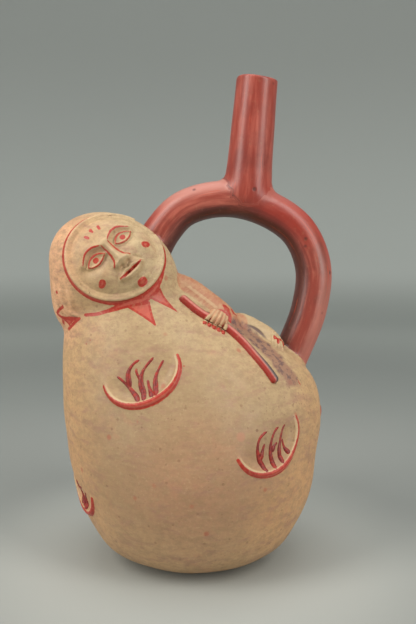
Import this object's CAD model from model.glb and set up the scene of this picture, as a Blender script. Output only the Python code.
import math

import bpy
import numpy as np
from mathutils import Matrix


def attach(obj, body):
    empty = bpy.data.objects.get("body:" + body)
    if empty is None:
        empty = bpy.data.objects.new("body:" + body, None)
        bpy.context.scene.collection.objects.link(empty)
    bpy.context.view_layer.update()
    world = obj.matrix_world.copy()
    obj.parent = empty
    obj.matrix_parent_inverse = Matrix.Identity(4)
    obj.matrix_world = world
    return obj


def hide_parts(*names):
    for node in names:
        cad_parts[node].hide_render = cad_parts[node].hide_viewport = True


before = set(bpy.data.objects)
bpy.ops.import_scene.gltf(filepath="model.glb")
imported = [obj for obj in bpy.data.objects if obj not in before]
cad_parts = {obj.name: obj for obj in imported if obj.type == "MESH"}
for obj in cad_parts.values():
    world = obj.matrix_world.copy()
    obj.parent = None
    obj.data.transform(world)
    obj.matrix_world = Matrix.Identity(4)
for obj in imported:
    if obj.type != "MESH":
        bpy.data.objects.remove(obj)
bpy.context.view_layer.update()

# The photograph's view. The vessel stands a little over a third of a metre away, on a level with its
# handle, and the lens looks slightly down at it.
VIEW_FROM = (0.008, -0.381, 0.170)
VIEW_DOWN = 5.0
VIEW_LENS = 39.0


def shown(name, data):
    """An object with this data, put in the scene"""
    thing = bpy.data.objects.new(name, data)
    bpy.context.collection.objects.link(thing)
    return thing


lens = bpy.data.cameras.new("view")
lens.lens = VIEW_LENS
view = shown("view", lens)
view.location = VIEW_FROM
view.rotation_euler = (math.radians(90.0 - VIEW_DOWN), 0.0, 0.0)
bpy.context.scene.camera = view


# The tuber. The chamber of the vessel is a potato pressed from clay in a mould: a broad belly, a
# part that leans up to the left and a shoulder on the right, smoothed together by hand and set down
# on a flat base. Sizes are millimetres until the clay is skinned.
BELLY = ((0.5, -2.5, 59.5), (68.0, 65.0, 76.0), 0.0)
LEAN = ((-29.0, -5.0, 107.0), (41.0, 42.0, 64.5), math.radians(14))
SHOULDER = ((42.5, -8.0, 87.5), (24.5, 24.5, 24.5), 0.0)
LEAN_BLEND = 30.0
SHOULDER_BLEND = 20.0
BASE_ROUNDING = 16.5
FOOT_CUT = 1.0
HAND_MARKS = (
    (0.21, 0.10, 0.06, 0.0, 0.14), (-0.07, 0.16, 0.19, 1.3, 0.12), (0.11, -0.24, 0.27, 2.1, 0.07),
)


def size_of(v):
    """Length of each row"""
    return np.sqrt(np.einsum("...j,...j->...", v, v))


def unit(v):
    """Each row at length 1"""
    return v / np.maximum(size_of(v), 1e-9)[..., None]


def egg(centre, radii, turn=0.0, axes=None):
    """An egg of clay. For points p it gives how far outside they are and the way out."""
    c, r = np.array(centre, float), np.array(radii, float)
    if axes is None:
        cos, sin = math.cos(turn), math.sin(turn)
        axes = np.array([[cos, 0, sin], [0, 1, 0], [-sin, 0, cos]])

    def field(p):
        q = (p - c) @ axes.T
        reach = size_of(q / r)
        steep = np.maximum(size_of(q / r**2), 1e-9)
        return reach * (reach - 1) / steep, ((q / r**2) / steep[:, None]) @ axes

    return field


def flow(a, b, width):
    """Two forms joined with a fillet of clay"""
    (da, na), (db, nb) = a, b
    h = np.clip(0.5 + 0.5 * (db - da) / width, 0.0, 1.0)
    return db + (da - db) * h - width * h * (1 - h), nb + (na - nb) * h[:, None]


def flip(a):
    """A form turned inside out"""
    return -a[0], -a[1]


def carve(a, b, width):
    """The first form with the second cut out of it"""
    return flip(flow(flip(a), b, width))


belly, lean, shoulder = egg(*BELLY), egg(*LEAN), egg(*SHOULDER)


def unevenness(p):
    """The slight swells that smoothing by hand leaves"""
    return sum(rise * np.sin(p @ np.array(wave) + start) for *wave, start, rise in HAND_MARKS)


def tuber(p, floor=-FOOT_CUT):
    """The chamber's clay, cut off flat below"""
    upper = flow(flow(belly(p), lean(p), LEAN_BLEND), shoulder(p), SHOULDER_BLEND)
    upper = upper[0] - unevenness(p), upper[1]
    above = (p[:, 2] - floor, np.tile((0.0, 0.0, 1.0), (len(p), 1)))
    d, n = flip(flow(flip(upper), above, BASE_ROUNDING))
    flat = -p[:, 2] > d
    return np.where(flat, -p[:, 2], d), np.where(flat[:, None], (0.0, 0.0, -1.0), n)


# The head. It is an egg in a hood whose back hangs lower, pressed in the same mould and smoothed to
# the top of the tuber, with a crease left under the hood.
HEAD = ((-42.5, -16.0, 160.0), (36.5, 28.0, 29.5), math.radians(-33))
NAPE = ((-59.5, -14.0, 143.0), (16.0, 16.0, 18.5), 0.0)
NAPE_BLEND = 12.0
HEAD_SEAM = 3.0

head, nape = egg(*HEAD), egg(*NAPE)


def hooded_head(p):
    return flow(head(p), nape(p), NAPE_BLEND)


# The stirrup. A tube of clay is rolled round a stick, bent into an arch and luted to the back of the
# head and to the right shoulder. It is thicker where it leaves the head.
STIRRUP_Y = 6.0
STIRRUP_POINTS = (
    (-35, 150), (-27, 166), (-17.6, 182.9), (-5.6, 194.9), (16.5, 200.4), (39.8, 195.6),
    (59.2, 182.4), (68, 162), (66, 138.4), (57, 114), (46, 90),
)
TUBE_RADIUS = 10.2
TUBE_SWELL = 2.4
SWELL_REACH = 0.26
TUBE_SEAM = 3.0
TUBE_STATIONS = 110
STEPS_BETWEEN = 24
FAR = 7.0
HANDFUL = 12000


def curve(points, count):
    """Evenly spaced places on a smooth line through the points"""
    p = np.array(points, float)
    p = np.vstack([2 * p[0] - p[1], p, 2 * p[-1] - p[-2]])
    step = np.diff(p, axis=0)
    gap = np.sqrt(size_of(step))[:, None]
    speed = step[:-1] / gap[:-1] - (step[:-1] + step[1:]) / (gap[:-1] + gap[1:]) + step[1:] / gap[1:]
    start, end = p[1:-2], p[2:-1]
    leave, arrive = speed[:-1] * gap[1:-1], speed[1:] * gap[1:-1]
    t = (np.arange(STEPS_BETWEEN) / STEPS_BETWEEN)[:, None, None]
    line = (2 * t**3 - 3 * t**2 + 1) * start + (t**3 - 2 * t**2 + t) * leave
    line = line + (3 * t**2 - 2 * t**3) * end + (t**3 - t**2) * arrive
    line = np.vstack([line.transpose(1, 0, 2).reshape(-1, p.shape[1]), p[-2]])
    run = np.concatenate([[0], np.cumsum(size_of(np.diff(line, axis=0)))])
    places = np.linspace(0, run[-1], count)
    return np.stack([np.interp(places, run, line[:, i]) for i in range(p.shape[1])], 1)


def strand(points, radii):
    """A rolled coil of clay, or a brush stroke, along the points"""
    points = np.array(points, float)
    radii = np.broadcast_to(np.array(radii, float), len(points))
    a, lay = points[:-1], np.diff(points, axis=0)
    ra, grow = radii[:-1], np.diff(radii)
    long2 = np.maximum(np.einsum("ij,ij->i", lay, lay), 1e-9)
    low, high = points.min(0) - radii.max() - FAR, points.max(0) + radii.max() + FAR

    def field(p):
        d, n = np.full(len(p), FAR), np.tile((0.0, 0.0, 1.0), (len(p), 1))
        near = np.nonzero(((p > low) & (p < high)).all(1))[0]
        for first in range(0, len(near), HANDFUL):
            these = near[first : first + HANDFUL]
            away = p[these][:, None] - a
            t = np.clip(np.einsum("pij,ij->pi", away, lay) / long2, 0, 1)
            away = away - t[..., None] * lay
            reach = size_of(away)
            gap = reach - ra - t * grow
            best = gap.argmin(1)
            row = np.arange(len(these))
            d[these] = np.minimum(gap[row, best], FAR)
            n[these] = away[row, best] / np.maximum(reach[row, best], 1e-9)[:, None]
        return d, n

    return field


tube_line = curve([(x, STIRRUP_Y, z) for x, z in STIRRUP_POINTS], TUBE_STATIONS)
tube_share = np.linspace(0, 1, TUBE_STATIONS)
tube_radii = TUBE_RADIUS + TUBE_SWELL * np.clip(1 - tube_share / SWELL_REACH, 0, 1) ** 2
stirrup = strand(tube_line, tube_radii)


# The spout. It is a turned tube, pinched on at the top of the arch with a bead of clay smoothed
# down over the tube. It leans a little and its rim is not quite level.
SPOUT_FOOT = np.array((29.6, STIRRUP_Y, 196.0))
SPOUT_RIM = np.array((35.4, STIRRUP_Y, 266.4))
SPOUT_PROFILE = (
    (9.0, -2), (11.6, 1.5), (13.2, 6), (13.4, 12), (12.6, 26), (12.1, 46), (11.7, 60), (11.5, 70.7),
)
PROFILE_STATIONS = 60
SPOUT_BORE = 7.6
BORE_FLOOR = 1.0
FLARE, FLARE_START, FLARE_LENGTH = 0.5, 67.5, 3.0
RIM_ROUNDING = 1.5
RIM_UNEVEN, RIM_TURN = 0.45, 0.6
SPOUT_SEAM = 5.0

spout_axis = unit(SPOUT_RIM - SPOUT_FOOT)
spout_profile = curve(SPOUT_PROFILE, PROFILE_STATIONS)


def along_spout(p):
    """Height up the spout, distance from its axis and the way out"""
    q = p - SPOUT_FOOT
    up = q @ spout_axis
    out = q - up[:, None] * spout_axis
    return up, size_of(out), unit(out)


def spout(p):
    up, reach, out = along_spout(p)
    side = reach - np.interp(up, spout_profile[:, 1], spout_profile[:, 0])
    side = np.maximum(side, SPOUT_PROFILE[0][1] - up)
    rim = SPOUT_PROFILE[-1][1] + RIM_UNEVEN * np.sin(2 * np.arctan2(out[:, 1], out[:, 0]) + RIM_TURN)
    top = (up - rim, np.tile(spout_axis, (len(p), 1)))
    return flip(flow(flip((side, out)), flip(top), RIM_ROUNDING))


def spout_bore(p):
    up, reach, out = along_spout(p)
    flare = FLARE * np.clip((up - FLARE_START) / FLARE_LENGTH, 0, 1) ** 2
    return np.maximum(reach - SPOUT_BORE - flare, BORE_FLOOR - up), out


# The hollow. The walls are pressed and rolled to an even thickness, so the inside follows the
# outside: the chamber and the head are one room, and the tube opens into both of its ends.
WALL = 5.0
BASE_WALL = 7.0
TUBE_BORE = 5.8
INNER_SEAM = 1.5
INSIDE_SKIN = 1.2

tube_bore = strand(tube_line, TUBE_BORE)


def shrunk(a, by):
    return a[0] + by, a[1]


def hollow(p):
    rooms = flow(shrunk(tuber(p, BASE_WALL - WALL), WALL), shrunk(hooded_head(p), WALL), INNER_SEAM)
    return flow(flow(rooms, tube_bore(p), INNER_SEAM), spout_bore(p), INNER_SEAM)


# The arms. Two rolls of clay lie bent against the right side of the tuber, the nearer one in a
# sleeve with folds and a cuff, and both are smoothed down at their ends.
ARM_RADIUS = 7.5
ARM_RISE = 6.5
ARM_TAPER = 0.45
ARM_SEAM = 2.4
ARM_STATIONS = 13
NEAR_ARM = ((-8, -12.5, 157), (24, -12.5, 136))
FAR_ARM = ((25, -5, 135), (45, -5, 121))
PRESSES = 8


def pressed(points, field, height=0.0):
    """The points moved straight onto a form's skin, or to a height above it"""
    p = np.atleast_2d(np.array(points, float)).copy()
    for _ in range(PRESSES):
        d, n = field(p)
        p -= n * ((d - height) / np.maximum(np.einsum("ij,ij->i", n, n), 0.5))[:, None]
    return p


def plain_body(p):
    """The tuber and the head before anything is laid on them"""
    return flow(tuber(p), hooded_head(p), HEAD_SEAM)


def laid(points, count, height, field=tuber):
    """A smooth line on the skin through the points"""
    return pressed(curve(pressed(points, field, height), count), field, height)


def straight(ends):
    return np.linspace(ends[0], ends[1], 5)


near_arm_line = laid(straight(NEAR_ARM), ARM_STATIONS, ARM_RISE - ARM_RADIUS)
far_arm_line = laid(straight(FAR_ARM), ARM_STATIONS, ARM_RISE - ARM_RADIUS)
arm_radii = ARM_RADIUS * (1 - ARM_TAPER * np.linspace(-1, 1, ARM_STATIONS) ** 4)
arms = [strand(near_arm_line, arm_radii), strand(far_arm_line, arm_radii)]


# The rod. The figure holds a short rod across its body, a roll of clay laid on and smoothed in, red
# slipped above and left bare and dark at its lower end.
ROD = ((-5.2, -27, 145.2), (8, -29, 135.2), (19, -28, 129), (41.6, -39, 105.4))
ROD_RADIUS = 2.15
ROD_RISE = 1.0
ROD_SEAM = 0.7

rod_line = laid(curve(ROD, 6), 26, ROD_RISE)
rod = strand(rod_line, ROD_RADIUS)


# The hands. A palm is pressed on at the end of each arm, the nearer one over the rod, and its five
# fingers are thin rolls laid over the palm with their tips on the tuber's skin.
NEAR_HAND = {
    "palm": (12.3, -26.0, 134.4), "first": (6, -32.7, 133.7), "last": (15.7, -32, 128.4), "rise": 2.0,
}
FAR_HAND = {
    "palm": (45, -8, 120.5), "first": (43, -15, 119.5), "last": (50, -13, 115), "rise": -0.6,
}
PALM_RADII = (5.9, 5.2, 3.3)
PALM_SEAM = 1.6
FINGERS = 5
FINGER_STATIONS = 9
FINGER_RADIUS = 1.0
FINGER_SEAM = 0.5
KNUCKLE_SPAN = 7.8
FINGER_LIFTS = (0.2, 4.2, 5.5)


def axes_at(point, along, field=tuber):
    """Along the skin, across it and out of it"""
    out = unit(field(point[None])[1])[0]
    side = unit(along - out * (along @ out))
    return side, np.cross(out, side), out


def palm_of(hand):
    """Where a palm is pressed on, the way across its fingers, and its form"""
    seat = pressed(hand["palm"], tuber, hand["rise"])[0]
    across = unit(np.subtract(hand["last"], hand["first"]))
    return seat, across, egg(seat, PALM_RADII, axes=np.array(axes_at(seat, across)))


palms = [palm_of(NEAR_HAND), palm_of(FAR_HAND)]


def body(p):
    """All that the grid of the skin has to catch, before the hollow is taken out"""
    d = flow(plain_body(p), stirrup(p), TUBE_SEAM)
    d = flow(d, spout(p), SPOUT_SEAM)
    for arm in arms:
        d = flow(d, arm(p), ARM_SEAM)
    for _, _, palm in palms:
        d = flow(d, palm(p), PALM_SEAM)
    return flow(d, rod(p), ROD_SEAM)


# The face. It looks out of the hood with its crown towards the upper left, inside a raised rim, and
# is calm and plain, on textbook proportions. Places are across and above its middle.
FACE_OUT = unit(np.array((0.05, -0.965, 0.26)))
FACE_UP = np.array((-0.72, 0.16, 0.68))
FACE_CENTRE = np.array((-39.2, -42.7, 170.7))
FACE_DEPTH = 15.0
FACE_HALF = (23.0, 21.7)
FACE_SUNK = 1.0
FACE_SCALE = 1.1
FACE_FADE, SUNK_FADE, TURN_FADE = 0.16, 0.07, 0.1
STEEPEST = 0.72
FACE_STEP = 0.8
FACE_BORDER = -0.14
RIM_HALF = (24.2, 22.9)
RIM_RADIUS = 1.2
RIM_SEAM = 0.8
RIM_STATIONS = 49

face_up = unit(FACE_UP - FACE_OUT * (FACE_UP @ FACE_OUT))
face_right = np.cross(face_up, FACE_OUT)
face_axes = np.array([face_right, face_up, FACE_OUT])


def face_at(across, above):
    """A place on the head's skin, straight behind or before a place on the flat face"""
    p = FACE_CENTRE + face_right * across + face_up * above
    for _ in range(PRESSES * 3):
        p = p - FACE_OUT * hooded_head(p[None])[0][0] * FACE_STEP
    return p


# The oval of the hood's opening lies level, wider than it is tall
oval_level = unit(np.cross(FACE_OUT, (0.0, 0.0, -1.0)))
oval_axes = np.array([oval_level, np.cross(FACE_OUT, oval_level), FACE_OUT])


def on_oval(half, turns):
    """Places round the hood's opening, on the skin of the head"""
    flat = half[0] * np.cos(turns)[:, None] * oval_axes[0] + half[1] * np.sin(turns)[:, None] * oval_axes[1]
    return np.array([face_at(q @ face_right, q @ face_up) for q in flat])


rim_line = on_oval(RIM_HALF, np.linspace(0, 2 * math.pi, RIM_STATIONS))
rim = strand(rim_line, RIM_RADIUS)


def smooth(low, high, x):
    t = np.clip((x - low) / (high - low), 0, 1)
    return t * t * (3 - 2 * t)


def in_face(p):
    """Places seen flat on the face, and how far inside its oval, 0 at its edge and 1 at its middle"""
    q = (p - FACE_CENTRE) @ face_axes.T
    r = (p - FACE_CENTRE) @ oval_axes.T
    inside = 1 - np.hypot(r[:, 0] / FACE_HALF[0], r[:, 1] / FACE_HALF[1])
    return q * (1 / FACE_SCALE, 1 / FACE_SCALE, 0.0), np.where(np.abs(q[:, 2]) < FACE_DEPTH, inside, -1.0)


def mirrored(q):
    """Places on either half of the face as places on the half that is drawn"""
    return np.abs(q) * (1, 0, 0) + q * (0, 1, 1)


# One half of the face is drawn, and the other mirrors it. A ridge is a line, its rise and its half
# width. A swell is its rise, its place across and above, and its half width and half height.
BROW = ((2.2, 6.4), (5.6, 8.3), (9.8, 8.5), (14.2, 5.6))
UPPER_LID = ((3.4, 2.3), (5.6, 4.6), (8.3, 5.4), (11.0, 4.6), (13.2, 2.9))
LOWER_LID = ((3.4, 2.3), (5.8, 1.2), (8.4, 0.7), (11.0, 1.3), (13.2, 2.9))
UPPER_LIP = ((-0.2, -10.3), (1.6, -9.8), (3.8, -10.4), (6.0, -11.2))
LOWER_LIP = ((-0.2, -13.1), (2.2, -13.0), (4.2, -12.2), (5.8, -11.4))
MOUTH = ((-0.2, -11.5), (2.0, -11.4), (4.4, -11.5), (6.6, -11.0))
CHEEK_FOLD = ((4.8, -6.2), (7.2, -10.0))
RIDGES = (
    (BROW, 1.5, 1.6), (UPPER_LID, 1.0, 0.75), (LOWER_LID, 0.7, 0.65), (UPPER_LIP, 1.4, 0.95),
    (LOWER_LIP, 1.7, 1.15), (MOUTH, -1.0, 0.45), (CHEEK_FOLD, -0.5, 0.8),
)
SWELLS = (
    (1.0, 0, 13, 13, 6), (1.5, 11.5, -5, 4.6, 5), (1.3, 0, -12, 7, 4.6), (2.0, 0, -18.4, 4.4, 2.8),
    (-0.7, 0, -15.4, 4, 1), (-2.3, 8.3, 3, 5.6, 3.8), (2.0, 3.2, -5.6, 1.6, 1.5),
    (-1.3, 1.8, -7.3, 0.9, 0.6), (-0.4, 0, -9, 0.8, 1.2),
)
EYEBALL = (2.0, 8.3, 3.0, 4.8, 2.6)
NOSE_LENGTH = (-8.0, -6.9, -5.4, -1.0, 4.0, 8.0, 11.0)
NOSE_RISE = (0.0, 2.2, 4.3, 3.3, 2.0, 1.3, 0.4)
NOSE_HALF = (3.0, 2.9, 2.7, 2.1, 1.8, 2.0, 3.0)
DRAWN_STATIONS = 12


def drawn(points, widths=0.0):
    """A line on the flat face, and how far places are from it"""
    return strand(curve([(x, y, 0.0) for x, y in points], DRAWN_STATIONS), widths)


ridges = [(drawn(line), rise, width) for line, rise, width in RIDGES]


def features(q):
    """How far the modelling of the face stands above its oval"""
    q = mirrored(q)
    across, above = q[:, 0], q[:, 1]

    def gap(x, z, wide, tall):
        return ((across - x) / wide) ** 2 + ((above - z) / tall) ** 2

    rise, *ball = EYEBALL
    h = rise * np.clip(1 - gap(*ball), 0, 1) ** 0.6
    for rise, *place in SWELLS:
        h += rise * np.exp(-gap(*place))
    for line, rise, width in ridges:
        h += rise * np.exp(-((line(q)[0] / width) ** 2))
    half = np.interp(above, NOSE_LENGTH, NOSE_HALF)
    return h + np.interp(above, NOSE_LENGTH, NOSE_RISE) * np.exp(-((across / half) ** 2))


def face(form, p):
    q, inside = in_face(p)
    raised = FACE_SCALE * features(q) * smooth(0.0, FACE_FADE, inside)
    raised -= FACE_SUNK * smooth(0.0, SUNK_FADE, inside)
    steep = np.clip(form[1] @ FACE_OUT, STEEPEST, 1.0)[:, None]
    straight_out = form[1] + (FACE_OUT * steep - form[1]) * smooth(0.0, TURN_FADE, inside)[:, None]
    return flow((form[0] - raised, straight_out), rim(p), RIM_SEAM)


def near(points, reach):
    """A test for points close to a piece of relief"""
    points = np.atleast_2d(points)
    low, high = points.min(0) - reach, points.max(0) + reach
    return lambda p: ((p > low) & (p < high)).all(1)


relief = [(near(rim_line, 9.0), face)]
paint = []


def dressed(form, p):
    """A form with all the relief that lies on it"""
    d, n = form[0].copy(), form[1].copy()
    for close_by, shape in relief:
        these = np.nonzero(close_by(p) & (np.abs(d) < FAR))[0]
        if len(these):
            d[these], n[these] = shape((d[these], n[these]), p[these])
    return d, n


def on_skin(p):
    return dressed(plain_body(p), p)


def brushed(points, widths, form=plain_body):
    """A brush stroke that follows the finished skin through the points"""
    line = pressed(pressed(points, form), lambda p: dressed(form(p), p))
    widths = np.atleast_1d(widths)
    share = np.linspace(0, 1, len(line))
    return strand(line, np.interp(share, np.linspace(0, 1, len(widths)), widths))


# The hood. Its cloth is gathered at the nape on the left and tied below the chin, with a collar of
# painted triangles. The folds are drawn in the soft clay and the red is brushed on.
FOLDS = (
    ((-71.9, -28.4, 151.2), (-71, -28, 145.4), (-68.5, -28.1, 139.1)),
    ((-68.5, -31.9, 150.4), (-67.1, -31.7, 145.7), (-63.6, -31.5, 139.4), (-59.2, -33.1, 137)),
    ((-64.2, -35.1, 150), (-62.3, -34.9, 145.9), (-61.5, -34, 142.7)),
)
FOLD_STATIONS = 12
FOLD_RADIUS, FOLD_RISE, FOLD_SEAM = 0.9, 0.15, 1.6
HEM = (
    (-55.1, -35.0, 138.2), (-49.6, -37.8, 138.8), (-44.8, -39.4, 140.0), (-39.7, -40.3, 141.7),
    (-35.6, -40.5, 143.3), (-32.4, -40.3, 144.4), (-28.9, -39.7, 145.3), (-25.3, -38.7, 146.1),
    (-22.3, -37.5, 147.4),
)
HEM_STATIONS = 24
HEM_WIDTHS = (0.8, 0.9, 0.9, 0.95, 1.3, 1.8, 2.1, 2.0, 1.4)
COLLAR_WIDTH = 0.85
COLLAR_HOLLOW = 0.35
COLLAR_STROKES = (
    ((-66.1, -31.6, 143.1), (-70.6, -26.3, 139.7), (-71.9, -23.8, 138.1)),
    ((-71.9, -23.8, 138.1), (-68.8, -26.2, 136.2), (-63.1, -30.4, 136.1), (-58.7, -33.3, 136.2)),
    ((-59.1, -33, 136), (-63.4, -29.1, 132.1), (-65.8, -26.1, 129.8)),
    ((-68.2, -26.7, 136.2), (-68.7, -23.9, 132.6)),
)
COLLAR_POINTS = (
    ((-34.2, -40.4, 143.6), (-21.6, -37.6, 145.6), (-17.6, -43.6, 132.6)),
    ((-22.6, -37.4, 147.4), (-16.6, -34.2, 152.4), (-6.8, -34.8, 139.0)),
    ((-71.3, -24.3, 137.3), (-60.6, -31.2, 135.6), (-64.8, -27.3, 131.5)),
)
RING_HALF = (25.6, 24.2)
RING_WIDTHS = (0.8, 1.55)
RING_STATIONS = 73
RING_HEAVY_AT = math.radians(-125)
SECOND_RING = (
    (-14.6, -24.2, 171.0), (-14.7, -29.4, 166.1), (-15.0, -32.1, 161.1), (-16.5, -34.5, 155.7),
    (-19.8, -36.6, 150.8), (-23.6, -38.1, 147.7),
)
SECOND_RING_WIDTHS = (0.35, 0.6, 0.8, 1.1, 1.9, 2.0)
HOOD_DOTS = ((-70.5, -29.7, 149.5), (-72.5, -26.9, 147.6))
DOT_RADIUS = 0.75


def flat_patch(corners, hollow_sides):
    """A painted triangle on the skin, with sides that may bend in"""
    a = np.array(corners, float)
    up = unit(np.cross(a[1] - a[0], a[2] - a[0]))
    middle = a.mean(0)

    def field(p):
        sides = []
        for i in range(3):
            start, end = a[i], a[(i + 1) % 3]
            along = unit(end - start)
            out = np.cross(along, up)
            t = np.clip((p - start) @ along / size_of(end - start), 0, 1)
            sides.append((p - start) @ out + hollow_sides * 4 * t * (1 - t))
        d = np.where(np.abs((p - middle) @ up) < FAR, np.max(sides, axis=0), FAR)
        return np.minimum(d, FAR), None

    return field


fold_lines = [laid(points, FOLD_STATIONS, FOLD_RISE, hooded_head) for points in FOLDS]
fold_radii = FOLD_RADIUS * (0.4 + 0.6 * np.sin(np.linspace(0, math.pi, FOLD_STATIONS)))
folds = [strand(line, fold_radii) for line in fold_lines]


def hood(form, p):
    for fold in folds:
        form = flow(form, fold(p), FOLD_SEAM)
    return form


relief.append((near(np.vstack(fold_lines), 4.0), hood))
hem_line = laid(HEM, HEM_STATIONS, 0.0, plain_body)
collar_paint = [brushed(hem_line, HEM_WIDTHS)]
collar_paint += [brushed(curve(points, 10), COLLAR_WIDTH) for points in COLLAR_STROKES]
collar_paint += [flat_patch(points, COLLAR_HOLLOW) for points in COLLAR_POINTS]
collar_paint += [brushed(curve(SECOND_RING, 16), SECOND_RING_WIDTHS)]
collar_paint += [brushed([dot, np.add(dot, 0.4)], DOT_RADIUS) for dot in HOOD_DOTS]
ring_turns = np.linspace(0, 2 * math.pi, RING_STATIONS)
ring_weight = (0.5 + 0.5 * np.cos(ring_turns - RING_HEAVY_AT)) ** 1.3
ring_widths = RING_WIDTHS[0] + (RING_WIDTHS[1] - RING_WIDTHS[0]) * ring_weight
paint += [brushed(on_oval(RING_HALF, ring_turns), ring_widths)] + collar_paint


# The marks on the face. Its lids, brows and mouth are gone over with the same red, and a few dots are
# brushed on it. One half is drawn, with the widths of each stroke along its line.
FACE_STROKES = (
    (UPPER_LID, (0.2, 0.5, 0.55, 0.45, 0.2)),
    (LOWER_LID, (0.2, 0.3, 0.35, 0.3, 0.2)),
    (BROW, (0.25, 0.5, 0.45, 0.2)),
    (((1.9, 5.8), (2.0, 0.0), (3.0, -3.6), (4.9, -5.6)), (0.2, 0.4, 0.45, 0.3)),
    (((8.2, 3.0), (8.5, 3.0)), (1.25, 1.25)),
    (((13.6, -6.4), (14.2, -6.6)), (1.7, 1.5)),
    (((3.4, 13.2), (3.9, 14.6)), (0.7, 0.7)),
    (((-0.2, 14.0), (0.2, 15.4)), (0.7, 0.7)),
    (MOUTH, (0.6, 0.75, 0.6, 0.3)),
    (((-0.6, -18.6), (0.8, -18.4)), (1.9, 1.7)),
)


def face_stroke(points, widths):
    shares = np.linspace(0, 1, DRAWN_STATIONS)
    line = drawn(points, np.interp(shares, np.linspace(0, 1, len(widths)), widths))

    def field(p):
        q, inside = in_face(p)
        return np.where(inside > 0, line(mirrored(q))[0], FAR), None

    return field


for points, widths in FACE_STROKES:
    paint.append(face_stroke(points, widths))


# What lies over the arms and the rod. Each hand's fingers are thin rolls over its palm, the near
# sleeve ends in a cuff that is a low ridge round the wrist, a lip of clay runs beside the rod and a
# dark cut lies between the arms. The sleeves' edges and the near fingertips are brushed red.
SMALL_STATIONS = 14
CUFF = ((13.8, -19.1, 138.1), (16.8, -18.7, 136.0), (19.4, -21.5, 132.0), (22.0, -22.4, 129.9))
CUFF_RADIUS, CUFF_RISE, CUFF_SEAM = 0.8, 0.1, 1.0
ROD_LIP = (
    (21.4, -24.1, 129.6), (27.1, -26.2, 124.6), (32.1, -29.5, 119.3), (37.0, -33.0, 114.1),
    (41.0, -35.6, 109.3),
)
ROD_LIP_RADIUS, ROD_LIP_SEAM = 0.75, 0.8
DARK_CUT = (
    (26.7, -12.2, 131.3), (31.1, -11.8, 130.1), (35.4, -11.9, 127.7), (39.2, -12.5, 123.9),
    (41.9, -13.3, 121.3),
)
DARK_CUT_RADIUS, DARK_CUT_RISE, DARK_CUT_SEAM = 0.75, 0.5, 0.6
SLEEVE_STROKES = (
    (((16.8, -16.3, 141.6), (19.0, -16.2, 139.5)), 1.2),
    (((16.3, -16.7, 141.7), (19.0, -17.0, 138.5), (20.0, -17.2, 135.3), (19.6, -21.1, 131.9)), 0.9),
    (((12.5, -19.2, 138.9), (15.7, -18.3, 139.1), (17.9, -18.0, 137.2), (18.9, -18.0, 134.8)), 0.6),
    (((20.7, -13.8, 139.8), (22.3, -14.6, 137.2), (24.2, -13.3, 134.4)), 0.65),
    (((8.3, -24.3, 137.8), (11.4, -20.4, 137.7), (14.6, -19.4, 136.6), (18.3, -21.8, 132.5)), 0.35),
    (((44.3, -10.5, 123.4), (45.0, -10.6, 121.6), (45.9, -10.6, 119.8)), 1.0),
    (((46.9, -8.8, 121.2), (47.4, -9.1, 119.8), (48.0, -9.4, 118.3)), 0.8),
    (((53.6, -29.1, 105.5), (56.0, -29.5, 102.0), (58.2, -29.8, 98.3)), 0.5),
)
SLEEVE_EDGE = ((-6.6, -17.6, 155.1), (0.8, -18.8, 149.8), (7.7, -18.8, 144.5), (12.5, -18.8, 140.8))
SLEEVE_EDGE_WIDTH = 0.8
FINGERTIP_RADIUS = 1.15


def skin_of_arms(p):
    d = plain_body(p)
    for arm in arms:
        d = flow(d, arm(p), ARM_SEAM)
    return d


def finger_lines(hand, seat, across):
    """Lines over the palm, from the tips of the fingers to the knuckles"""
    first, last = np.array(hand["first"], float), np.array(hand["last"], float)
    lines = []
    for t in np.linspace(0, 1, FINGERS):
        tip = first + (last - first) * t
        knuckle = seat + across * (t - 0.5) * KNUCKLE_SPAN
        bend = (tip, (tip + knuckle) / 2, knuckle)
        path = [pressed(place, tuber, lift)[0] for place, lift in zip(bend, FINGER_LIFTS)]
        lines.append(pressed(curve(path, FINGER_STATIONS), body))
    return lines


hands = [finger_lines(hand, seat, across) for hand, (seat, across, _) in zip((NEAR_HAND, FAR_HAND), palms)]
finger_rolls = [strand(line, FINGER_RADIUS) for lines in hands for line in lines]
cuff_line = laid(CUFF, SMALL_STATIONS, CUFF_RISE, skin_of_arms)
cuff = strand(cuff_line, CUFF_RADIUS)
rod_lip_line = laid(ROD_LIP, SMALL_STATIONS, 0.0, skin_of_arms)
rod_lip = strand(rod_lip_line, ROD_LIP_RADIUS)
dark_cut_line = laid(DARK_CUT, SMALL_STATIONS, DARK_CUT_RISE, skin_of_arms)
dark_cut = strand(dark_cut_line, DARK_CUT_RADIUS * np.sin(np.linspace(0.2, 2.9, SMALL_STATIONS)))


def over_arms(form, p):
    form = flow(form, cuff(p), CUFF_SEAM)
    form = flow(form, rod_lip(p), ROD_LIP_SEAM)
    form = carve(form, dark_cut(p), DARK_CUT_SEAM)
    for finger in finger_rolls:
        form = flow(form, finger(p), FINGER_SEAM)
    return form


relief.append((near(np.vstack([cuff_line, rod_lip_line, dark_cut_line, rod_line]), 8.0), over_arms))
paint += [brushed(curve(points, 12), width, body) for points, width in SLEEVE_STROKES]
paint += [strand(line[:2], FINGERTIP_RADIUS) for line in hands[0]]
pale_paint = [
    brushed(curve(SLEEVE_EDGE, SMALL_STATIONS), SLEEVE_EDGE_WIDTH, body),
    brushed(curve(ROD_LIP, SMALL_STATIONS), ROD_LIP_RADIUS, body),
]


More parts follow.
